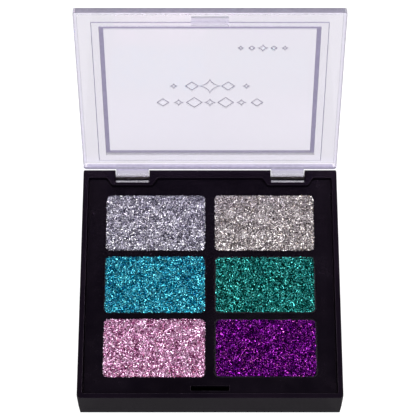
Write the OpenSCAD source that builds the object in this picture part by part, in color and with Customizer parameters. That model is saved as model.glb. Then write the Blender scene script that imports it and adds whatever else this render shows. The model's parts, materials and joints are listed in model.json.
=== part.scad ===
// Six-shade eyeshadow palette with a clear lid, standing open.
// Origin: middle of the flat underside. +X is to the user's right, +Y to the hinge, +Z up.
// The lid is drawn closed and then swung back about the hinge pins by lid_open_deg.

/* [Case] */
// Width of the palette, left to right
case_w = 90; // [88:1:100]
// Depth of the palette, front to rear
case_d = 90; // [89:1:96]
// Height of the base without the lid
base_h = 13.9; // [12.8:0.1:15]
// Thickness of the base's floor
base_floor = 2; // [1.2:0.1:2.4]
// Slope of the outer walls, inwards towards the underside, in degrees
wall_draft = 3; // [1:0.5:4]
// Radius of the upright corners of the base
corner_r = 1.2; // [0.6:0.1:2]
// Radius of the bottom edges of the base
bottom_edge_r = 1.4; // [0.4:0.1:1.8]
// Radius of the rear top edge, which the lid swings past
rear_edge_r = 1.0; // [0.9:0.05:1.2]
// Width of the rim at the sides and the front
rim_w = 1.75; // [1.5:0.05:2]
// Width of the strip between the rear wall and the tray
rear_strip_w = 3.5; // [3.3:0.1:4]
// Thickness of the ribs on the floor, which carry the pockets
rib_t = 1.0; // [0.8:0.1:1.4]

/* [Tray] */
// How far the tray's face lies below the rim
tray_recess = 0.9; // [0.5:0.1:1.2]
// Thickness of the tray's plate
tray_t = 1.0; // [0.8:0.1:1.4]
// Gap between the tray and the rim around it
tray_gap = 0.45; // [0.2:0.05:0.5]
// Width of the ledge inside the base that the tray lies on
ledge_w = 1.0; // [0.8:0.1:1.2]
// Thickness of the walls and floors of the pockets
pocket_wall = 1.0; // [0.8:0.1:1.2]
// Gap between a pan and its pocket
pocket_gap = 0.2; // [0.1:0.05:0.3]

/* [Pans] */
// Width of one pan, left to right
pan_w = 34.65; // [32:0.05:35]
// Depth of one pan, front to rear
pan_d = 22.1; // [20:0.05:22.5]
// Height of one pan
pan_h = 4.5; // [3:0.1:4.8]
// Corner radius of a pan
pan_corner_r = 1.7; // [1:0.1:3]
// Thickness of the pan's sheet metal
pan_t = 0.3; // [0.2:0.05:0.4]
// Distance between the centres of the two columns
pitch_x = 38.1; // [36.5:0.05:38.5]
// Distance between the centres of the rows
pitch_y = 24.55; // [24:0.05:25]
// How far the middle row's centre lies in front of the case's centre
rows_forward = 1.2; // [0.5:0.1:1.5]
// Thickness of the adhesive pad under a pan
adhesive_t = 0.3; // [0.1:0.1:0.4]
// Diameter of the adhesive pad
adhesive_d = 14; // [8:1:18]

/* [Lid] */
// Height of the lid
lid_h = 2.4; // [2.2:0.1:2.8]
// Thickness of the lid's plate outside the window
lid_plate_t = 1.0; // [0.8:0.1:1.2]
// Thickness of the lid's walls
lid_wall = 1.2; // [1:0.1:1.5]
// Radius of the lid's upright corners
lid_corner_r = 1.3; // [0.6:0.1:2]
// Radius of the lid's top edges
lid_edge_r = 0.5; // [0.2:0.1:0.7]
// Distance from the lid's side edges to the raised panel inside it
panel_inset = 5.7; // [3:0.1:7]
// Distance from the lid's front edge to the raised panel
panel_front_inset = 6.4; // [5.3:0.1:7]
// Distance from the lid's rear edge to the raised panel
panel_rear_inset = 3.6; // [3:0.1:6]
// Height of the raised panel
panel_step = 0.2; // [0.1:0.05:0.3]
// Width of the window with its bevel, left to right
window_w = 73.7; // [66:0.1:75]
// Depth of the window with its bevel, front to rear
window_d = 69.6; // [62:0.1:70]
// How far the window's centre lies behind the lid's centre
window_back = 1.2; // [0:0.05:1.5]
// Width of the bevel around the window
bevel_w = 1.5; // [1:0.05:2]
// Depth of the window below the lid's top face
window_depth = 0.1; // [0.05:0.05:0.4]
// Gap between the closed lid and the rim of the base
parting_gap = 0.1; // [0.05:0.05:0.2]

/* [Hinge] */
// Angle from closed to fully open
lid_open_deg = 95.7; // [95:0.1:96]
// Distance from the rear wall to the pin's axis
pin_inset = 2.4; // [2.3:0.05:2.5]
// Distance from the rim down to the pin's axis
pin_drop = 2.2; // [2.1:0.05:2.3]
// Diameter of the hinge pins
pin_d = 1.0; // [0.8:0.1:1.2]
// Radial clearance of a pin in its knuckle
pin_clearance = 0.06; // [0.02:0.01:0.1]
// Radius of the lid's knuckles
knuckle_r = 1.6; // [1.5:0.05:1.65]
// Width of one knuckle
knuckle_w = 11.6; // [9:0.1:12]
// Distance from the middle of the case to the middle of a knuckle
knuckle_x = 27.6; // [24:0.1:29]
// Distance between the closed lid's rear edge and the pin's axis
lid_setback = 2.1; // [2:0.05:2.2]

/* [Latch] */
// Width of the latch tab
tab_w = 12.4; // [8:0.1:14]
// Thickness of the latch tab
tab_t = 1.2; // [1:0.1:1.4]
// How far the tab reaches below the lid's rim
tab_reach = 1.8; // [1.4:0.1:2.2]
// Distance from the lid's front edge to the middle of the tab
tab_inset = 4.05; // [3.9:0.05:4.1]
// Gap all round the tab in its slot
tab_gap = 0.35; // [0.3:0.05:0.4]
// Radius of the bead that the tab snaps in with
bead_r = 0.2; // [0.1:0.05:0.2]

/* [Hidden] */
$fn = 48;

// The six shades, in rows from the hinge to the front, left before right
SHADES = ["lilac_silver", "champagne", "turquoise", "emerald", "pink", "violet"];
SHADE_COLOURS = ["#a9a4bb", "#b5aea3", "#2f9db0", "#127a5c", "#d79ab8", "#7a1fa8"];
COLUMNS = 2;
CASE_COLOUR = "#17131c";
TRAY_COLOUR = "#1b1820";
LID_COLOUR = [0.86, 0.84, 0.92, 0.4];
STEEL_COLOUR = "#8c8a88";
TIN_COLOUR = "#c9c9cc";
ADHESIVE_COLOUR = "#e6e0cc";

CUT = 0.5;                       // how far a cut runs past the face it opens
ARC_STEPS = 6;                   // straight edges in a rounded corner of an outline
cavity_corner_r = 0.6;           // of the space inside the rim
slot_corner_r = 0.3;             // of the latch slot
lid_inside_r = 0.4;              // of the corners inside the lid
slant_share = 0.6;               // share of an inset that the slanted corners take up sideways
notch_gap = 0.2;                 // between a knuckle's end and its notch
block_wall = 1.05;               // wall of a hinge block beside its notch
block_front_wall = 1.05;         // wall of a hinge block in front of its notch
pin_sink = 0.7;                  // from a side wall to the pin's outer end
pin_bite = 2.4;                  // length of a pin's inner end that sits in the block
arm_lift = 0.1;                  // from the lid's rim up to a hinge arm
bead_margin = 1;                 // from the end of the tab to the end of its bead
rib_margin = 1.5;                // from the edge of the pocket block to the end of a rib
pin_y = case_d / 2 - pin_inset;
pin_z = base_h - pin_drop;
tray_top = base_h - tray_recess;
ledge_z = tray_top - tray_t;
pocket_floor = tray_top - pan_h - adhesive_t;
lid_d = case_d - pin_inset - lid_setback;
lid_y = -case_d / 2 + lid_d / 2;
lid_z = base_h + parting_gap;
tab_y = -case_d / 2 + tab_inset;

// The raised block that carries a hinge notch, and the notch in it
notch_w = knuckle_w + 2 * notch_gap;
notch_depth = 5.5;               // from the rear wall to the notch's front wall
notch_drop = 4.8;                // from the rim to the notch's floor
block_front_half = notch_w / 2 + block_wall;
block_slant = 1.9;               // sideways run of each slanted corner
block_depth = notch_depth + block_front_wall;

// The pins go in from the side walls and end in the block
pin_outer_x = case_w / 2 - pin_sink;
pin_inner_x = knuckle_x - notch_w / 2 - pin_bite;

// The block under the tray that holds the six pockets
pockets_w = pitch_x + pan_w + 2 * (pocket_gap + pocket_wall);
pockets_d = 2 * pitch_y + pan_d + 2 * (pocket_gap + pocket_wall);
pockets_z = pocket_floor - pocket_wall;

function unit(v) = v / norm(v);
function turned(v, a) = [v.x * cos(a) - v.y * sin(a), v.x * sin(a) + v.y * cos(a)];

// Arc of radius r that rounds the corner b between its neighbours a and c
function corner_arc(a, b, c, r) =
    let (
        u = unit(a - b),
        v = unit(c - b),
        half = acos(u * v) / 2,
        centre = b + unit(u + v) * r / sin(half),
        start = b + u * r / tan(half) - centre,
        side = cross(b - a, c - b) > 0 ? 1 : -1
    )
    [for (i = [0:ARC_STEPS]) centre + turned(start, side * (180 - 2 * half) * i / ARC_STEPS)];

// The closed outline p with its corners rounded to the radii in r, 0 for a sharp one
function rounded(p, r) =
    let (n = len(p))
    [for (i = [0:n - 1]) each (r[i] == 0 ? [p[i]] : corner_arc(p[(i + n - 1) % n], p[i], p[(i + 1) % n], r[i]))];

function rounded_rect(w, d, r) =
    rounded([[-w / 2, -d / 2], [w / 2, -d / 2], [w / 2, d / 2], [-w / 2, d / 2]], [r, r, r, r]);

// Outline of the space inside the rim, set in by g all round: a rectangle that steps
// forward with slanted corners around each hinge block
function cavity(g) =
    let (
        x = case_w / 2 - rim_w - g,
        front = -case_d / 2 + rim_w + g,
        rear = case_d / 2 - rear_strip_w - g,
        step = case_d / 2 - block_depth - g,
        near = block_front_half + g * slant_share,
        far = near + block_slant
    )
    rounded([
        [-x, front], [x, front], [x, rear],
        [knuckle_x + far, rear], [knuckle_x + near, step],
        [knuckle_x - near, step], [knuckle_x - far, rear],
        [far - knuckle_x, rear], [near - knuckle_x, step],
        [-knuckle_x - near, step], [-knuckle_x - far, rear],
        [-x, rear]
    ], [for (i = [0:11]) cavity_corner_r]);

// Point where a line from p touches the circle (c, r), on the left or right of the line
function tangent_point(p, c, r, side) =
    let (d = c - p, a = asin(r / norm(d)), l = sqrt(d * d - r * r))
    p + turned(unit(d), side * a) * l;

// Prism whose outline lies in the XZ plane, running along Y over the length l
module prism_y(p, l) {
    rotate([90, 0, 0])
        linear_extrude(l, center = true)
            polygon(p);
}

// Prism whose outline lies in the YZ plane, running along X over the length l
module prism_x(p, l) {
    rotate([90, 0, 90])
        linear_extrude(l, center = true)
            polygon(p);
}

// Horizontal round bar along X at the hinge axis
module hinge_bar(r, x0, x1) {
    translate([x0, pin_y, pin_z])
        rotate([0, 90, 0])
            cylinder(r = r, h = x1 - x0);
}

module at_shade(i) {
    column = i % COLUMNS;
    row = floor(i / COLUMNS);
    translate([(column - 0.5) * pitch_x, (1 - row) * pitch_y - rows_forward, 0])
        children();
}

// The base's outer form: sloped walls, rounded bottom edges and rounded rear top edge
module case_block() {
    narrowing = base_h * tan(wall_draft);
    intersection() {
        prism_y(rounded([
            [-case_w / 2 + narrowing, 0], [case_w / 2 - narrowing, 0],
            [case_w / 2, base_h], [-case_w / 2, base_h]
        ], [bottom_edge_r, bottom_edge_r, 0, 0]), case_d);
        prism_x(rounded([
            [-case_d / 2 + narrowing, 0], [case_d / 2 - narrowing, 0],
            [case_d / 2, base_h], [-case_d / 2, base_h]
        ], [bottom_edge_r, bottom_edge_r, rear_edge_r, 0]), case_w);
        linear_extrude(base_h)
            polygon(rounded_rect(case_w, case_d, corner_r));
    }
}

// Ribs under the walls between the pockets
module ribs() {
    rib_h = pockets_z - base_floor + CUT;
    rib_w = pockets_w - 2 * rib_margin;
    rib_d = pockets_d - 2 * rib_margin;
    translate([-rib_t / 2, -rib_d / 2 - rows_forward, base_floor - CUT])
        cube([rib_t, rib_d, rib_h]);
    for (side = [-1, 1])
        translate([-rib_w / 2, side * pitch_y / 2 - rib_t / 2 - rows_forward, base_floor - CUT])
            cube([rib_w, rib_t, rib_h]);
}

module base_shell() color(CASE_COLOUR) {
    ribs();
    difference() {
        case_block();
        translate([0, 0, base_floor])
            linear_extrude(base_h)
                polygon(cavity(ledge_w));
        translate([0, 0, ledge_z])
            linear_extrude(base_h)
                polygon(cavity(0));
        for (side = [-1, 1]) {
            translate([side * knuckle_x - notch_w / 2, case_d / 2 - notch_depth, base_h - notch_drop])
                cube([notch_w, notch_depth + CUT, notch_drop + CUT]);
            mirror([side < 0 ? 1 : 0, 0, 0])
                hinge_bar(pin_d / 2, pin_inner_x, case_w / 2 + CUT);
        }
    }
}

module inner_tray() color(TRAY_COLOUR) {
    difference() {
        union() {
            translate([0, 0, ledge_z])
                linear_extrude(tray_t)
                    polygon(cavity(tray_gap));
            translate([0, -rows_forward, pockets_z])
                linear_extrude(ledge_z + tray_t / 2 - pockets_z)
                    polygon(rounded_rect(pockets_w, pockets_d, pan_corner_r + pocket_wall));
        }
        for (i = [0:len(SHADES) - 1])
            at_shade(i)
                translate([0, 0, pocket_floor])
                    linear_extrude(base_h)
                        polygon(rounded_rect(
                            pan_w + 2 * pocket_gap, pan_d + 2 * pocket_gap, pan_corner_r + pocket_gap
                        ));
        translate([0, tab_y, ledge_z - CUT])
            linear_extrude(tray_t + 2 * CUT)
                polygon(rounded_rect(tab_w + 2 * tab_gap, tab_t + 2 * tab_gap, slot_corner_r));
    }
}

// Drawn sheet-metal pan, standing on its adhesive pad
module pan() color(TIN_COLOUR) {
    translate([0, 0, pocket_floor + adhesive_t])
        difference() {
            linear_extrude(pan_h)
                polygon(rounded_rect(pan_w, pan_d, pan_corner_r));
            translate([0, 0, pan_t])
                linear_extrude(pan_h)
                    polygon(rounded_rect(pan_w - 2 * pan_t, pan_d - 2 * pan_t, pan_corner_r - pan_t));
        }
}

// Pressed glitter, level with the pan's edge
module glitter(i) color(SHADE_COLOURS[i]) {
    translate([0, 0, pocket_floor + adhesive_t + pan_t])
        linear_extrude(pan_h - pan_t)
            polygon(rounded_rect(pan_w - 2 * pan_t, pan_d - 2 * pan_t, pan_corner_r - pan_t));
}

module adhesive() color(ADHESIVE_COLOUR) {
    translate([0, 0, pocket_floor])
        cylinder(d = adhesive_d, h = adhesive_t);
}

// Lid with its rear edge at the hinge, lying closed on the base
module closed_lid() {
    top = lid_z + lid_h;
    inside = top - lid_plate_t;
    panel_d = lid_d - panel_front_inset - panel_rear_inset;
    difference() {
        union() {
            difference() {
                lid_block();
                translate([0, lid_y, lid_z - CUT])
                    linear_extrude(inside - lid_z + CUT)
                        polygon(rounded_rect(case_w - 2 * lid_wall, lid_d - 2 * lid_wall, lid_inside_r));
            }
            translate([0, lid_y + (panel_front_inset - panel_rear_inset) / 2, inside - panel_step])
                linear_extrude(panel_step + lid_plate_t / 2)
                    polygon(rounded_rect(case_w - 2 * panel_inset, panel_d, lid_inside_r));
            latch_tab(inside);
            for (side = [-1, 1])
                translate([side * knuckle_x, 0, 0])
                    knuckle();
        }
        // The window lies a little deeper than the rest of the top face, inside a bevel
        translate([0, lid_y + window_back, top])
            intersection() {
                prism_y(sunk_profile(window_w), window_d);
                prism_x(sunk_profile(window_d), window_w);
            }
        for (side = [-1, 1])
            translate([side * knuckle_x, 0, 0])
                hinge_bar(pin_d / 2 + pin_clearance, -knuckle_w / 2 - CUT, knuckle_w / 2 + CUT);
    }
}

// Section of the window's recess, w wide at the top face and with its bevels below
function sunk_profile(w) = [
    [-w / 2 + bevel_w, -window_depth], [w / 2 - bevel_w, -window_depth],
    [w / 2, 0], [w / 2, CUT], [-w / 2, CUT], [-w / 2, 0]
];

// The lid's outer form with rounded corners and top edges
module lid_block() {
    radii = [0, 0, lid_edge_r, lid_edge_r];
    translate([0, lid_y, lid_z])
        intersection() {
            prism_y(rounded([
                [-case_w / 2, 0], [case_w / 2, 0], [case_w / 2, lid_h], [-case_w / 2, lid_h]
            ], radii), lid_d);
            prism_x(rounded([
                [-lid_d / 2, 0], [lid_d / 2, 0], [lid_d / 2, lid_h], [-lid_d / 2, lid_h]
            ], radii), case_w);
            linear_extrude(lid_h)
                polygon(rounded_rect(case_w, lid_d, lid_corner_r));
        }
}

// Tab inside the lid's front edge, with a bead along its front face near the tip
module latch_tab(inside) {
    tip = lid_z - tab_reach;
    translate([-tab_w / 2, tab_y - tab_t / 2, tip])
        cube([tab_w, tab_t, inside - tip + lid_plate_t / 2]);
    translate([-tab_w / 2 + bead_margin, tab_y - tab_t / 2, tip + 2 * bead_r])
        rotate([0, 90, 0])
            cylinder(r = bead_r, h = tab_w - 2 * bead_margin, $fn = 24);
}

// Barrel round the pin and the arm that joins it to the lid's rear wall
module knuckle() {
    c = [pin_y, pin_z];
    arm_top = [pin_y - lid_setback - lid_wall / 2, lid_z + lid_h - lid_edge_r];
    arm_bottom = [pin_y - lid_setback - lid_wall / 2, lid_z + arm_lift];
    hinge_bar(knuckle_r, -knuckle_w / 2, knuckle_w / 2);
    prism_x([
        arm_bottom,
        [pin_y - lid_setback, arm_bottom.y],
        tangent_point([pin_y - lid_setback, arm_bottom.y], c, knuckle_r, -1),
        c,
        tangent_point([pin_y - lid_setback, arm_top.y], c, knuckle_r, 1),
        [pin_y - lid_setback, arm_top.y],
        arm_top
    ], knuckle_w);
}

module lid_shell() color(LID_COLOUR) {
    translate([0, pin_y, pin_z])
        rotate([-lid_open_deg, 0, 0])
            translate([0, -pin_y, -pin_z])
                closed_lid();
}

module hinge_pin_right() color(STEEL_COLOUR) {
    hinge_bar(pin_d / 2, pin_inner_x, pin_outer_x);
}

module hinge_pin_left() color(STEEL_COLOUR) {
    mirror([1, 0, 0])
        hinge_bar(pin_d / 2, pin_inner_x, pin_outer_x);
}

base_shell();
inner_tray();
lid_shell();
hinge_pin_left();
hinge_pin_right();
for (i = [0:len(SHADES) - 1]) {
    at_shade(i) pan();
    at_shade(i) glitter(i);
    at_shade(i) adhesive();
}
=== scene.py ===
import json
import math

import bpy
import numpy as np
from mathutils import Matrix, Vector


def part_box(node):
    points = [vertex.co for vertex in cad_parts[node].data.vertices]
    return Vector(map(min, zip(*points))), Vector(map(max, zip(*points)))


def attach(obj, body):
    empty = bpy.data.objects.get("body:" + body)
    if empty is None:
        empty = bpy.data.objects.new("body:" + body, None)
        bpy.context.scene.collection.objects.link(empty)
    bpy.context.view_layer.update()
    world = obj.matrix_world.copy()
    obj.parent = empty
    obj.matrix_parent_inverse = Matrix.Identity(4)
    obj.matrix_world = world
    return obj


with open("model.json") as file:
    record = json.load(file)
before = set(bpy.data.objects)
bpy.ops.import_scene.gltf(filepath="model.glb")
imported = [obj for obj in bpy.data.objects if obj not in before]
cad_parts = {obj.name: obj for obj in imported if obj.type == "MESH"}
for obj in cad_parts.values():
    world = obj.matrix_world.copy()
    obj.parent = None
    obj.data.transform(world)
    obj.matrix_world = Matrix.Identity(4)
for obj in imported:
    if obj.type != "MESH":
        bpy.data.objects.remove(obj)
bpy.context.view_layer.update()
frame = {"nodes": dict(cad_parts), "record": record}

MM = 0.001
SEED = 20

# ---- Sizes that part.scad also has, in millimetres -------------------------------------------

CASE_W = 90.0
CASE_D = 90.0
BASE_H = 13.9
LID_TOP_CLOSED = 16.4
LID_LENGTH = 85.5
WINDOW_W = 73.7
WINDOW_D = 69.6
WINDOW_BACK = 1.2
WINDOW_DEPTH = 0.1
BEVEL_W = 1.5
PANEL_INSET = 5.7
PANEL_FRONT_INSET = 6.4
PANEL_REAR_INSET = 3.6
LID_PLATE_T = 1.0
LID_WALL = 1.2
PARTING_GAP = 0.1
PAN_CORNER_R = 1.7

# ---- The lid's own directions: it is drawn closed, then swung open about the hinge -----------

hinge = frame["record"]["behaviour"]["joints"][0]
PIN = Vector(hinge["pos_m"])
OPEN_ANGLE = math.radians(hinge["range_deg"][1])
WINDOW_MID_Y = -CASE_D / 2 + LID_LENGTH / 2 + WINDOW_BACK
swing_open = (
    Matrix.Translation(PIN) @ Matrix.Rotation(-OPEN_ANGLE, 4, "X") @ Matrix.Translation(-PIN)
)

# ---- Camera: the photograph's viewing side, a long lens from a steep angle -------------------

CAM_ELEVATION = math.radians(60)
CAM_LENS = 200
CAM_DISTANCE = 831 * MM
CAM_DROP = 14.6 * MM             # how far the view's axis passes below the base's rear top edge


def make_camera():
    forward = Vector((0, math.cos(CAM_ELEVATION), -math.sin(CAM_ELEVATION)))
    down = Vector((0, -math.sin(CAM_ELEVATION), -math.cos(CAM_ELEVATION)))
    rear_edge = Vector((0, CASE_D / 2 * MM, BASE_H * MM))
    data = bpy.data.cameras.new("camera")
    data.lens = CAM_LENS
    data.sensor_width = 36
    data.clip_start = 0.05
    data.clip_end = 50
    camera = bpy.data.objects.new("camera", data)
    camera.location = rear_edge + down * CAM_DROP - forward * CAM_DISTANCE
    camera.rotation_mode = "QUATERNION"
    camera.rotation_quaternion = forward.to_track_quat("-Z", "Y")
    bpy.context.scene.collection.objects.link(camera)
    bpy.context.scene.camera = camera


# ---- Node helpers ------------------------------------------------------------------------------


class Shader:
    """A material with its node tree, and short calls for the nodes that this scene uses."""

    def __init__(self, name):
        self.material = bpy.data.materials.new(name)
        self.material.use_nodes = True
        self.tree = self.material.node_tree
        self.surface = self.tree.nodes["Principled BSDF"]
        self.output = self.tree.nodes["Material Output"]

    def link(self, source, target):
        self.tree.links.new(source, target)

    def node(self, kind, inputs=(), **settings):
        made = self.tree.nodes.new("ShaderNode" + kind)
        for key, value in settings.items():
            setattr(made, key, value)
        for key, value in dict(inputs).items():
            if isinstance(value, bpy.types.NodeSocket):
                self.link(value, made.inputs[key])
            else:
                made.inputs[key].default_value = value
        return made

    def principled(self, **values):
        for key, value in values.items():
            socket = self.surface.inputs[key.replace("_", " ")]
            if isinstance(value, bpy.types.NodeSocket):
                self.link(value, socket)
            else:
                socket.default_value = value

    def place(self, scale=(1, 1, 1)):
        """The object's own coordinates, stretched by scale."""
        coordinates = self.node("TexCoord").outputs["Object"]
        return self.node("Mapping", {"Vector": coordinates, "Scale": scale}).outputs["Vector"]

    def noise(self, scale, detail, place=None, roughness=0.5):
        inputs = {"Scale": scale, "Detail": detail, "Roughness": roughness}
        inputs["Vector"] = place or self.place()
        return self.node("TexNoise", inputs).outputs["Fac"]

    def ramp(self, factor, stops):
        made = self.node("ValToRGB", {"Fac": factor})
        points = made.color_ramp.elements
        while len(points) < len(stops):
            points.new(0.5)
        for point, (at, colour) in zip(points, stops):
            point.position = at
            point.color = (*colour, 1)
        return made.outputs["Color"]

    def spread(self, factor, low, high, start=0.0, end=1.0):
        """The range from start to end stretched to the range from low to high."""
        inputs = {"Value": factor, "From Min": start, "From Max": end, "To Min": low, "To Max": high}
        return self.node("MapRange", inputs).outputs["Result"]

    def math(self, operation, a, b=0.0):
        return self.node("Math", {0: a, 1: b}, operation=operation).outputs[0]

    def mix(self, factor, first, second):
        """A colour between two: the first at a factor of 0 and the second at 1."""
        return self.node("Mix", {0: factor, 6: first, 7: second}, data_type="RGBA").outputs[2]

    def mix_shaders(self, factor, first, second):
        return self.node("MixShader", {0: factor, 1: first, 2: second}).outputs[0]

    def bump(self, height, distance, strength, normal=None):
        inputs = {"Height": height, "Distance": distance, "Strength": strength}
        if normal is not None:
            inputs["Normal"] = normal
        return self.node("Bump", inputs).outputs["Normal"]

    def soft_edges(self, radius):
        return self.node("Bevel", {"Radius": radius}, samples=4).outputs["Normal"]


def linear(r, g, b):
    """A colour given as 0 to 255 display values, in the linear values that shaders take."""
    return tuple(
        ((c / 255 + 0.055) / 1.055) ** 2.4 if c > 10 else c / 255 / 12.92 for c in (r, g, b)
    )


def even_stops(colours):
    """Stops for a ramp, evenly from its start to its end."""
    return [(i / (len(colours) - 1), colour) for i, colour in enumerate(colours)]


# ---- Materials -----------------------------------------------------------------------------------


PAINTED_EDGE_HIGHLIGHT = (0.022, 0.018, 0.025)   # painted highlight: the paler colour of black plastic along its edges, where light catches them
EDGE_RADIUS = 0.0002             # of the softened edges, in metres
GLOSS_TINT = (1, 0.7, 1, 1)

CASE_BLACK = {
    "dark": (0.0022, 0.0014, 0.0032), "light": (0.0042, 0.0024, 0.0054),
    "gloss": 0.24, "rough": 0.18,
}
TRAY_BLACK = {
    "dark": (0.0012, 0.0008, 0.0018), "light": (0.0026, 0.0018, 0.0036),
    "gloss": 0.2, "rough": 0.2,
}


def black_plastic(name, dark, light, gloss, rough):
    """Injection-moulded black: cloudy colour, uneven gloss, fine wiping scratches, and edges that
    are soft, with a painted highlight that makes them a little paler in patches."""
    s = Shader(name)
    rounded = s.soft_edges(EDGE_RADIUS)
    flat = s.node("NewGeometry").outputs["Normal"]
    level = s.node("VectorMath", {0: rounded, 1: flat}, operation="DOT_PRODUCT").outputs["Value"]
    on_edge = s.spread(level, 1, 0, start=0.85, end=0.995)
    patchy = s.spread(s.noise(scale=700, detail=2), 0.5, 1, start=0.35, end=0.6)
    clouds = s.ramp(s.noise(scale=45, detail=3), [(0.35, dark), (0.7, light)])
    # painted highlight: along the edges, in patches, the colour turns paler
    s.principled(Base_Color=s.mix(s.math("MULTIPLY", on_edge, patchy), clouds, (*PAINTED_EDGE_HIGHLIGHT, 1)))
    smears = s.noise(scale=120, detail=4, roughness=0.6)
    s.principled(Roughness=s.spread(smears, rough - 0.05, rough + 0.09, start=0.3, end=0.7))
    scratches = s.noise(scale=60, detail=2, place=s.place((1, 45, 45)))
    cross = s.noise(scale=60, detail=2, place=s.place((40, 1.5, 40)))
    grain = s.noise(scale=5200, detail=1)
    wear = s.math("ADD", s.math("MULTIPLY", scratches, 0.5), s.math("MULTIPLY", cross, 0.4))
    height = s.math("ADD", wear, s.math("MULTIPLY", grain, 0.25))
    s.principled(Normal=s.bump(height, distance=0.000012, strength=0.35, normal=rounded))
    s.principled(Specular_IOR_Level=gloss, Specular_Tint=GLOSS_TINT)
    return s.material


# painted shade: the pin's steel gets a near-black brownish colour, as it looks darkened through the
# clear knuckle
PIN_STEEL = {
    "dark": (0.03, 0.024, 0.02), "light": (0.08, 0.066, 0.056),
    "rough": 0.3, "lines": (0.2, 30, 30),
}
# painted shade: the tin gets a near-black colour so that the pans' rims stay dark
PAN_TIN = {
    "dark": (0.03, 0.028, 0.034), "light": (0.08, 0.075, 0.088),
    "rough": 0.3, "lines": (0.3, 12, 12),
}


def sheet_metal(name, dark, light, rough, lines):
    """Rolled sheet or drawn wire: fine parallel lines along X in colour, gloss and relief."""
    s = Shader(name)
    brushed = s.noise(scale=500, detail=2, place=s.place(lines))
    s.principled(Base_Color=s.ramp(brushed, [(0.3, dark), (0.7, light)]))
    s.principled(Roughness=s.spread(brushed, rough - 0.08, rough + 0.12, start=0.3, end=0.7))
    rounded = s.soft_edges(0.00006)
    s.principled(Normal=s.bump(brushed, distance=0.00001, strength=0.3, normal=rounded))
    s.principled(Metallic=1.0)
    return s.material


def glitter_bed(name, tones):
    """The pressed cake below the flakes: crushed grains, in the shade's darker tones as painted
    shadow between the flakes.
    """
    s = Shader(name)
    cells = s.node("TexVoronoi", {"Vector": s.place(), "Scale": 4200})
    grain = s.node("SeparateColor", {"Color": cells.outputs["Color"]}).outputs[0]
    stops = [(i / len(tones), tone) for i, tone in enumerate(tones)]
    s.principled(Base_Color=s.ramp(grain, stops))
    s.principled(Roughness=s.spread(grain, 0.35, 0.7))
    s.principled(Metallic=0.9, Specular_IOR_Level=0.2)
    s.principled(Normal=s.bump(cells.outputs["Distance"], distance=0.00012, strength=0.8))
    return s.material


def glitter_foil(name, tones, accents):
    """Foil flakes: each has its own tone, from painted shadow to painted sparkle, and a few have one
    of the shade's accent colours. Their gloss at a glancing angle is tinted too, as in the last tone
    but one."""
    s = Shader(name)
    tone = s.node("Attribute", attribute_name="tone").outputs["Fac"]
    accent = s.node("Attribute", attribute_name="accent").outputs["Fac"]
    plain = s.ramp(tone, even_stops(tones))
    coloured = s.ramp(tone, even_stops(accents))
    s.principled(Base_Color=s.mix(accent, plain, coloured))
    s.principled(Roughness=s.spread(tone, 0.42, 0.3))
    s.principled(Metallic=1.0, Specular_Tint=(*tones[-2], 1))
    crinkle = s.noise(scale=9000, detail=1)
    s.principled(Normal=s.bump(crinkle, distance=0.00001, strength=0.3))
    return s.material


# Where shade and a highlight are painted on the lid, in millimetres
FACE_REACH = 0.1                 # how far from a face of the lid its painted places are looked for
PANEL_LINE = 0.3                 # width of the line that the panel's step shows as
ARM_START = 0.75                 # from the pin's axis back to where the hinge arms get painted shade
ARM_RISE = 1                     # and from the axis up
PAINTED_HIGHLIGHT_REACH = 1.65               # from the pin's axis forward to the barrels' edge, where a highlight is painted

# Share of painted shade, a satin grey, in the look of each place
PAINTED_SHADE_SHARE = {
    "bevel": 0.85, "panel_line": 0.9, "front": 0.7, "rim": 0.8, "rear": 0.62,
    "arms": 0.55, "painted_highlight_edge": 0.8,
}

CLARITY = 0.45                   # share of the light that passes without bending
WINDOW_CLARITY = 0.85            # the same in the window, whose faces are the flattest
CLEAR_TINT = (0.975, 0.96, 0.99)
WINDOW_TINT = (0.892, 0.882, 0.904)
LAMPLIGHT_TINT = (0.9, 0.88, 0.95)
PAINTED_GLOW_STRENGTH = 1.1                  # strength of the highlight painted on the barrels' edge, as a glow


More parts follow.
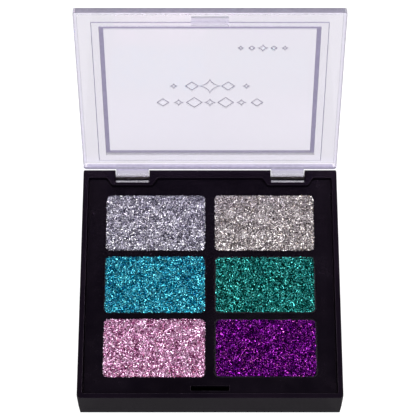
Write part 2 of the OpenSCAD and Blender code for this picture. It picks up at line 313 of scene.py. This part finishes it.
def lid_places(s):
    """Masks for the lid's window and the places where shade and a highlight are painted on it. The
    knuckles' arms and painted highlight edge are looked up on the open lid, as it is at rest, and
    everything else on the closed lid."""
    at_rest = s.node("TexCoord").outputs["Object"]
    turn = {"Vector": at_rest, "Center": PIN, "Angle": OPEN_ANGLE}
    shut = s.node("VectorRotate", turn, rotation_type="X_AXIS").outputs[0]
    opened = s.node("SeparateXYZ", {"Vector": at_rest}).outputs
    closed = s.node("SeparateXYZ", {"Vector": shut}).outputs

    def inside(half_w, half_d, middle):
        """Distance inwards from a rectangle's outline, negative outside it."""
        from_side = s.math("SUBTRACT", half_w * MM, s.math("ABSOLUTE", closed["X"]))
        from_middle = s.math("ABSOLUTE", s.math("SUBTRACT", closed["Y"], middle * MM))
        return s.math("MINIMUM", from_side, s.math("SUBTRACT", half_d * MM, from_middle))

    def above(value, limit):
        return s.math("GREATER_THAN", value, limit * MM)

    def below(value, limit):
        return s.math("LESS_THAN", value, limit * MM)

    def between(value, low, high):
        return s.math("MULTIPLY", above(value, low), below(value, high))

    def where_all(first, *others):
        for other in others:
            first = s.math("MULTIPLY", first, other)
        return first

    outer_face = above(closed["Z"], LID_TOP_CLOSED - WINDOW_DEPTH - FACE_REACH)
    inner_face = below(closed["Z"], LID_TOP_CLOSED - LID_PLATE_T + FACE_REACH)
    from_window_edge = inside(WINDOW_W / 2, WINDOW_D / 2, WINDOW_MID_Y)

    panel_d = LID_LENGTH - PANEL_FRONT_INSET - PANEL_REAR_INSET
    panel_middle = -CASE_D / 2 + PANEL_FRONT_INSET + panel_d / 2
    from_panel_edge = inside(CASE_W / 2 - PANEL_INSET, panel_d / 2, panel_middle)
    on_step = between(from_panel_edge, -PANEL_LINE / 2, PANEL_LINE / 2)

    rear_edge = -CASE_D / 2 + LID_LENGTH
    rear_wall = between(closed["Y"], rear_edge - LID_WALL - FACE_REACH, rear_edge + FACE_REACH)
    at_rim = below(closed["Z"], BASE_H + PARTING_GAP + FACE_REACH)
    knuckles = above(closed["Y"], rear_edge + FACE_REACH)
    behind_pin = above(opened["Y"], PIN.y / MM + ARM_START)
    over_pin = above(opened["Z"], PIN.z / MM + ARM_RISE)

    return {
        "window": above(from_window_edge, 0),
        "bevel": where_all(between(from_window_edge, 0, BEVEL_W), outer_face),
        "panel_line": where_all(on_step, inner_face),
        "front": below(closed["Y"], -CASE_D / 2 + FACE_REACH),
        "rim": where_all(rear_wall, at_rim),
        "rear": where_all(rear_wall, inner_face),
        "arms": where_all(knuckles, behind_pin, over_pin),
        "painted_highlight_edge": where_all(knuckles, below(opened["Y"], PIN.y / MM - PAINTED_HIGHLIGHT_REACH)),
    }


def lid_painted_light(s, places, path):
    """Satin grey painted as shade where the clear lid looks grey or dark as it bends and reflects
    light, darker on the front and arms. The barrels' edge also glows a little to the camera: a
    painted highlight for light that the black notch would otherwise hide."""
    satin = s.noise(scale=900, detail=3)
    pale = s.ramp(satin, [(0.3, linear(134, 129, 150)), (0.7, linear(152, 147, 168))])
    deep = s.ramp(satin, [(0.3, linear(88, 84, 104)), (0.7, linear(104, 99, 118))])
    dark = s.math("MAXIMUM", places["front"], places["arms"])
    # painted highlight: the barrels' edge glows, to the camera only
    painted_glow = s.math("MULTIPLY", places["painted_highlight_edge"], path["Is Camera Ray"])
    return s.node("BsdfPrincipled", {
        "Base Color": s.mix(dark, pale, deep),
        "Roughness": 0.5,
        "Normal": s.bump(s.noise(scale=3500, detail=3), distance=0.00002, strength=0.8),
        "Emission Color": (0.85, 0.8, 0.9, 1),
        "Emission Strength": s.math("MULTIPLY", painted_glow, PAINTED_GLOW_STRENGTH),
    }).outputs[0]


def clear_plastic(name):
    """Clear lavender styrene, with painted shade in places and a painted highlight on the barrels'
    edge, which lets the lamps' light through.
    """
    s = Shader(name)
    path = s.node("LightPath").outputs
    places = lid_places(s)

    ripple = s.noise(scale=35, detail=2)
    smears = s.noise(scale=160, detail=4)
    s.principled(Base_Color=(0.99, 0.98, 1.0, 1))
    s.principled(Roughness=s.spread(smears, 0.0, 0.05, start=0.4, end=0.75))
    s.principled(Normal=s.bump(ripple, distance=0.00006, strength=0.25))
    s.principled(Transmission_Weight=1.0, IOR=1.49)

    tint = s.ramp(places["window"], even_stops([CLEAR_TINT, WINDOW_TINT]))
    unbent = s.node("BsdfTransparent", {"Color": tint}).outputs[0]
    clarity = s.spread(places["window"], CLARITY, WINDOW_CLARITY)
    body = s.mix_shaders(clarity, s.surface.outputs[0], unbent)

    # painted shade: each place's satin grey, mixed in by its share
    painted_share = 0.0
    for place, shade_share in PAINTED_SHADE_SHARE.items():
        painted_share = s.math("MAXIMUM", painted_share, s.math("MULTIPLY", places[place], shade_share))
    with_painted_light = s.mix_shaders(painted_share, body, lid_painted_light(s, places, path))

    from_lamp = s.math("MAXIMUM", path["Is Shadow Ray"], path["Is Diffuse Ray"])
    through = s.node("BsdfTransparent", {"Color": (*LAMPLIGHT_TINT, 1)}).outputs[0]
    s.link(s.mix_shaders(from_lamp, with_painted_light, through), s.output.inputs["Surface"])

    absorb = s.node("VolumeAbsorption", {"Color": (0.62, 0.55, 0.86, 1), "Density": 90})
    s.link(absorb.outputs[0], s.output.inputs["Volume"])
    return s.material


def adhesive_gum(name):
    """Amber pressure-sensitive gum with trapped bubbles."""
    s = Shader(name)
    bubbles = s.node("TexVoronoi", {"Vector": s.place(), "Scale": 900}).outputs["Distance"]
    s.principled(Base_Color=s.ramp(bubbles, [(0.1, (0.85, 0.8, 0.66)), (0.6, (0.6, 0.52, 0.34))]))
    s.principled(Roughness=s.spread(bubbles, 0.25, 0.5))
    s.principled(Normal=s.bump(bubbles, distance=0.00005, strength=0.5))
    return s.material


def print_ink(name):
    """Grey screen-printing ink with a slightly patchy coat."""
    s = Shader(name)
    coat = s.noise(scale=2500, detail=3)
    thick, thin = linear(96, 90, 112), linear(128, 122, 144)
    s.principled(Base_Color=s.ramp(coat, [(0.3, thick), (0.7, thin)]))
    s.principled(Roughness=s.spread(coat, 0.4, 0.6))
    return s.material


FLOOR_SEEN = 0.97                # strength of the floor's glow to the camera
FLOOR_THROUGH_LID = 0.93         # and through the clear lid
FLOOR_ALL_ROUND = 0.05           # what every other ray gets, and the two above get on top


def pale_floor(name):
    """White sweep with a faint paper tooth, lit from below as a light table is. What gloss and
    diffuse surfaces get from it is dimmer, as from a table no wider than the camera's view. It
    can't be seen from below, so that the object's underside can."""
    s = Shader(name)
    tooth = s.noise(scale=900, detail=3)
    path = s.node("LightPath").outputs
    direct = s.math("MULTIPLY", path["Is Camera Ray"], FLOOR_SEEN)
    through = s.math("MULTIPLY", path["Is Transmission Ray"], FLOOR_THROUGH_LID)
    glow = s.math("ADD", s.math("MAXIMUM", direct, through), FLOOR_ALL_ROUND)
    s.principled(Base_Color=s.ramp(tooth, [(0.3, (0.11, 0.11, 0.11)), (0.7, (0.13, 0.13, 0.13))]))
    s.principled(Emission_Color=(1, 1, 1, 1), Emission_Strength=glow)
    s.principled(Roughness=0.9, Specular_IOR_Level=0.1)
    from_below = s.node("NewGeometry").outputs["Backfacing"]
    nothing = s.node("BsdfTransparent").outputs[0]
    one_sided = s.mix_shaders(from_below, s.surface.outputs[0], nothing)
    s.link(one_sided, s.output.inputs["Surface"])
    return s.material


# Each shade's tones from its shadows to its sparkle, which paint part of that shade and sparkle on
# # top of what the tilted flakes catch, and those of its accent flakes, as 0 to 255 display values.
# Then the share of accent flakes, the mean of all flakes' places along the tones,
# # from 0 to 1, and how far they spill over the pan's edge, in millimetres
SHADES = {
    "lilac_silver": {
        "tones": [(30, 27, 38), (86, 82, 98), (142, 138, 154), (206, 202, 217), (252, 250, 255)],
        "accents": [(110, 108, 140), (255, 255, 255)],
        "accent_share": 0.04, "tone": 0.48, "spill": 0.0,
    },
    "champagne": {
        "tones": [(40, 34, 34), (98, 90, 90), (156, 147, 149), (214, 205, 206), (255, 250, 248)],
        "accents": [(170, 150, 130), (255, 248, 236)],
        "accent_share": 0.06, "tone": 0.48, "spill": 0.05,
    },
    "turquoise": {
        "tones": [(0, 14, 36), (0, 62, 92), (8, 112, 138), (54, 182, 208), (110, 232, 250)],
        "accents": [(0, 60, 130), (120, 225, 215)],
        "accent_share": 0.12, "tone": 0.42, "spill": -0.05,
    },
    "emerald": {
        "tones": [(0, 5, 5), (0, 34, 32), (2, 72, 68), (40, 150, 144), (90, 212, 202)],
        "accents": [(0, 70, 60), (90, 230, 235)],
        "accent_share": 0.08, "tone": 0.4, "spill": -0.3,
    },
    "pink": {
        "tones": [(62, 4, 40), (120, 52, 96), (172, 110, 152), (232, 176, 216), (255, 222, 248)],
        "accents": [(200, 90, 140), (255, 236, 244)],
        "accent_share": 0.08, "tone": 0.5, "spill": 0.0,
    },
    "violet": {
        "tones": [(6, 0, 12), (30, 0, 42), (56, 0, 76), (112, 8, 136), (180, 56, 204)],
        "accents": [(70, 0, 140), (255, 120, 214)],
        "accent_share": 0.04, "tone": 0.34, "spill": -0.3,
    },
}


# ---- Mesh helpers --------------------------------------------------------------------------------


def mesh_piece(name, vertices, faces, material, body):
    mesh = bpy.data.meshes.new(name)
    mesh.from_pydata([tuple(v) for v in vertices], [], [tuple(f) for f in faces])
    mesh.materials.append(material)
    piece = bpy.data.objects.new(name, mesh)
    bpy.context.scene.collection.objects.link(piece)
    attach(piece, body)
    return piece


# The flakes, in millimetres
FLAKE_SPACING = 0.24
ROW_PITCH = 0.866                # of the spacing, as in a hexagonal grid
JITTER = 0.42                    # of the spacing
RAGGED = 0.07                    # how unevenly the flakes stop at the pan's edge
FLAKE_R = 0.143
FLAKE_R_SPREAD = 0.2             # of the radius
FLAKE_STRETCH = (0.75, 1.15)     # a flake's width, of its length
FLAKE_THICK = 0.12
FLAKE_TILT = math.radians(19)
FLAKE_TILT_MAX = math.radians(52)
FLAKE_LIFT = (0.02, 0.24)        # how far the lowest and highest flakes' middles stand above the cake
TONE_SPREAD = 0.48
PATCH_SPREAD = 0.045             # of the tone shift that neighbouring flakes share, for each wave
PATCH_WAVES = 7
PATCH_LENGTHS = (1.5, 9)         # shortest and longest wave
RING = 6                         # corners round a flake


def flake_places(half_w, half_d, corner, rng):
    """Jittered hexagonal grid inside a rounded rectangle."""
    rows = int(2 * half_d / (FLAKE_SPACING * ROW_PITCH)) + 2
    columns = int(2 * half_w / FLAKE_SPACING) + 2
    row, column = np.meshgrid(np.arange(rows), np.arange(columns), indexing="ij")
    x = (column + 0.5 * (row % 2)) * FLAKE_SPACING - half_w
    y = row * FLAKE_SPACING * ROW_PITCH - half_d
    at = np.stack([x.ravel(), y.ravel()], axis=1)
    at += rng.uniform(-JITTER, JITTER, at.shape) * FLAKE_SPACING
    beyond = np.abs(at) - np.array([half_w - corner, half_d - corner])
    outside = np.linalg.norm(np.maximum(beyond, 0), axis=1) - corner
    outside += np.minimum(beyond.max(axis=1), 0)
    return at[outside < rng.normal(0, RAGGED, len(at))]


def patches(at, rng):
    """A tone shift that varies smoothly over the pan: waves of random length and direction."""
    total = np.zeros(len(at))
    for _ in range(PATCH_WAVES):
        way = rng.uniform(0, 2 * math.pi)
        phase = rng.uniform(0, 2 * math.pi)
        along = at @ np.array([math.cos(way), math.sin(way)])
        total += np.sin(2 * math.pi * along / rng.uniform(*PATCH_LENGTHS) + phase)
    return PATCH_SPREAD * total


def flake_mesh(at, top, rng):
    """Hexagonal flakes, flat on top and drawn to a point below, each tilted its own way."""
    n = len(at)
    turn = np.arange(RING) * 2 * math.pi / RING
    radius = FLAKE_R * (1 + FLAKE_R_SPREAD * rng.standard_normal((n, 1)))
    spin = rng.uniform(0, 2 * math.pi, (n, 1))
    stretch = rng.uniform(*FLAKE_STRETCH, (n, 1))
    flat = np.stack([
        radius * np.cos(turn + spin),
        radius * stretch * np.sin(turn + spin),
        np.zeros((n, RING)),
    ], axis=2)
    point = np.zeros((n, 1, 3))
    point[:, 0, 2] = -FLAKE_THICK
    local = np.concatenate([flat, point], axis=1)
    tilt = np.minimum(np.abs(rng.rayleigh(FLAKE_TILT, n)), FLAKE_TILT_MAX)
    way = rng.uniform(0, 2 * math.pi, n)
    # Turns by the tilt, about the level axis that points the flake's way
    c, s, cw, sw = np.cos(tilt), np.sin(tilt), np.cos(way), np.sin(way)
    rotation = np.empty((n, 3, 3))
    rotation[:, 0] = np.stack([cw * cw * (1 - c) + c, cw * sw * (1 - c), sw * s], axis=1)
    rotation[:, 1] = np.stack([cw * sw * (1 - c), sw * sw * (1 - c) + c, -cw * s], axis=1)
    rotation[:, 2] = np.stack([-sw * s, cw * s, c], axis=1)
    placed = np.einsum("nij,nvj->nvi", rotation, local)
    placed[:, :, :2] += at[:, None, :]
    placed[:, :, 2] += top + rng.uniform(*FLAKE_LIFT, (n, 1))
    first = np.arange(n)[:, None] * (RING + 1)
    faces = (first + np.arange(RING)).tolist()
    for i in range(RING):
        faces += np.hstack([first + (i + 1) % RING, first + i, first + RING]).tolist()
    return placed.reshape(-1, 3), faces


def make_flakes(shade, settings, rng):
    low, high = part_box("pan_" + shade)
    middle = (low + high) / 2
    half_w = (high.x - low.x) / 2 / MM + settings["spill"]
    half_d = (high.y - low.y) / 2 / MM + settings["spill"]
    at = flake_places(half_w, half_d, PAN_CORNER_R + settings["spill"] / 2, rng)
    rng.shuffle(at)
    cake_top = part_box("glitter_" + shade)[1].z / MM
    vertices, faces = flake_mesh(at, cake_top, rng)
    vertices[:, 0] += middle.x / MM
    vertices[:, 1] += middle.y / MM
    tones = [linear(*t) for t in settings["tones"]]
    accents = [linear(*t) for t in settings["accents"]]
    foil = glitter_foil("foil_" + shade, tones, accents)
    piece = mesh_piece("flakes_" + shade, vertices * MM, faces, foil, "base")
    n = len(at)
    tone = np.clip(rng.normal(settings["tone"], TONE_SPREAD, n) + patches(at, rng), 0, 1)
    accent = (rng.random(n) < settings["accent_share"]).astype(float)
    for name, values in (("tone", tone), ("accent", accent)):
        piece.data.attributes.new(name, "FLOAT", "POINT").data.foreach_set(
            "value", np.repeat(values, RING + 1).astype(np.float32)
        )


# ---- The print on the window: sparkles and lozenges in outline, in place of words -----------------

# Each row's distance from the window's middle towards the lid's front edge, its middle in X, its
# pitch and its figures' radii, in millimetres
PRINT_ROWS = [
    (2.9, 0.0, 6.2, (1.6, 2.4, 4.2, 2.4, 1.6)),
    (-6.1, 0.0, 5.4, (2.2, 2.0, 2.9, 2.3, 2.9, 2.0, 2.2)),
    (23.2, 17.7, 3.7, (1.4, 1.2, 2.1, 1.2, 1.4)),
]
SPARKLE = 0.62                   # power of a superellipse with cusps
LOZENGE = 1.0
FIGURE_STEPS = 64
INK_T = 0.03
INK_W = 0.3
RADIUS_PER_INK_W = {SPARKLE: 2, LOZENGE: 1.4}   # the radius falls by more than the line is wide


def superellipse(radius, power, steps):
    """Closed outline that is a lozenge at a power of 1, and has cusps on the axes below that."""
    for i in range(steps):
        a = 2 * math.pi * (i + 0.5) / steps
        c, s = math.cos(a), math.sin(a)
        yield (
            radius * math.copysign(abs(c) ** (2 / power), c),
            radius * math.copysign(abs(s) ** (2 / power), s),
        )


def outline_ring(middle, radius, power, z):
    """A flat ring between two superellipses, INK_T thick."""
    inner = radius - INK_W * RADIUS_PER_INK_W[power]
    loops = []
    for r, height in ((radius, z), (inner, z), (inner, z + INK_T), (radius, z + INK_T)):
        ring = superellipse(r, power, FIGURE_STEPS)
        loops.append([(middle[0] + x, middle[1] + y, height) for x, y in ring])
    vertices = [v for loop in loops for v in loop]
    faces = []
    for k in range(4):
        near, far = k * FIGURE_STEPS, (k + 1) % 4 * FIGURE_STEPS
        for i in range(FIGURE_STEPS):
            j = (i + 1) % FIGURE_STEPS
            faces.append((near + i, far + i, far + j, near + j))
    return vertices, faces


def make_print():
    z = LID_TOP_CLOSED - WINDOW_DEPTH
    vertices, faces = [], []
    for forward, middle, pitch, radii in PRINT_ROWS:
        half = len(radii) // 2
        for i, radius in enumerate(radii):
            at = (middle + (i - half) * pitch, WINDOW_MID_Y - forward)
            power = LOZENGE if (i - half) % 2 else SPARKLE
            ring_vertices, ring_faces = outline_ring(at, radius, power, z)
            first = len(vertices)
            vertices += [swing_open @ (Vector(v) * MM) for v in ring_vertices]
            faces += [[first + corner for corner in face] for face in ring_faces]
    mesh_piece("window_print", vertices, faces, print_ink("print_ink"), "lid")


# ---- Studio --------------------------------------------------------------------------------------


SKY_FALL = (0.4, 0.78)           # sines of the elevations between which the sky darkens
SKY = (0.95, 0.06)               # its strength below and above them
SKY_THROUGH_LID = (1.0, 0.42)    # the same for light that comes through the clear lid


def make_world():
    """White round the horizon and dark overhead, so that level gloss stays black. Light that
    comes through the clear lid finds it less dark overhead, and the camera sees plain white."""
    world = bpy.data.worlds.new("studio")
    bpy.context.scene.world = world
    world.use_nodes = True
    tree = world.node_tree
    sky = tree.nodes["Background"]
    way = tree.nodes.new("ShaderNodeTexCoord")
    axes = tree.nodes.new("ShaderNodeSeparateXYZ")
    tree.links.new(way.outputs["Generated"], axes.inputs[0])
    path = tree.nodes.new("ShaderNodeLightPath")

    def falling(strengths):
        fall = tree.nodes.new("ShaderNodeMapRange")
        fall.interpolation_type = "SMOOTHSTEP"
        for key, value in zip(("From Min", "From Max", "To Min", "To Max"), SKY_FALL + strengths):
            fall.inputs[key].default_value = value
        tree.links.new(axes.outputs["Z"], fall.inputs["Value"])
        return fall.outputs["Result"]

    def chosen(by, otherwise, value):
        mixed = tree.nodes.new("ShaderNodeMix")
        tree.links.new(path.outputs[by], mixed.inputs[0])
        tree.links.new(otherwise, mixed.inputs[2])
        if isinstance(value, float):
            mixed.inputs[3].default_value = value
        else:
            tree.links.new(value, mixed.inputs[3])
        return mixed.outputs[0]

    unseen = chosen("Is Transmission Ray", falling(SKY), falling(SKY_THROUGH_LID))
    tree.links.new(chosen("Is Camera Ray", unseen, 1.0), sky.inputs["Strength"])
    sky.inputs["Color"].default_value = (1, 1, 1, 1)


# Each softbox's name, place and side in metres, and power in watts
SOFTBOXES = [
    ("key_left", (-0.75, -0.55, 0.7), 0.6, 10),
    ("key_right", (0.8, -0.35, 0.65), 0.6, 10),
    ("sparkle_left", (-0.55, 0.42, 0.72), 0.3, 3.8),
    ("sparkle_right", (0.55, 0.42, 0.72), 0.3, 3.8),
]
LAMP_AIM = Vector((0, 0, 0.02))


def softbox(name, place, size, power):
    data = bpy.data.lights.new(name, "AREA")
    data.shape = "SQUARE"
    data.size = size
    data.energy = power
    lamp = bpy.data.objects.new(name, data)
    lamp.location = place
    lamp.rotation_mode = "QUATERNION"
    lamp.rotation_quaternion = (LAMP_AIM - Vector(place)).to_track_quat("-Z", "Y")
    lamp.visible_camera = False
    bpy.context.scene.collection.objects.link(lamp)


FLOOR_HALF = 6.0                 # half its side, in metres
FLOOR_GAP = 0.02 * MM            # keeps the floor off the object's flat underside


def make_floor():
    mesh = bpy.data.meshes.new("floor")
    corners = [
        (x * FLOOR_HALF, y * FLOOR_HALF, -FLOOR_GAP) for x, y in ((-1, -1), (1, -1), (1, 1), (-1, 1))
    ]
    mesh.from_pydata(corners, [], [(0, 1, 2, 3)])
    mesh.materials.append(pale_floor("floor"))
    floor = bpy.data.objects.new("floor", mesh)
    bpy.context.scene.collection.objects.link(floor)


# ---- Assembly ------------------------------------------------------------------------------------


def assign(node, material):
    mesh = frame["nodes"][node].data
    mesh.materials.clear()
    mesh.materials.append(material)


make_camera()
make_world()
make_floor()
for lamp in SOFTBOXES:
    softbox(*lamp)

assign("base_shell", black_plastic("case_black", **CASE_BLACK))
assign("inner_tray", black_plastic("tray_black", **TRAY_BLACK))
assign("lid_shell", clear_plastic("lid_clear"))
steel = sheet_metal("pin_steel", **PIN_STEEL)
tin = sheet_metal("pan_tin", **PAN_TIN)
gum = adhesive_gum("adhesive_gum")
for side in ("left", "right"):
    assign("hinge_pin_" + side, steel)

rng = np.random.default_rng(SEED)
for shade, settings in SHADES.items():
    assign("pan_" + shade, tin)
    assign("adhesive_" + shade, gum)
    # painted shadow: the cake below the flakes takes the shade's darker tones
    shadow_tones = [linear(*t) for t in settings["tones"][:3]]
    assign("glitter_" + shade, glitter_bed("bed_" + shade, shadow_tones))
    make_flakes(shade, settings, rng)
make_print()

bpy.context.scene.view_settings.view_transform = "Standard"
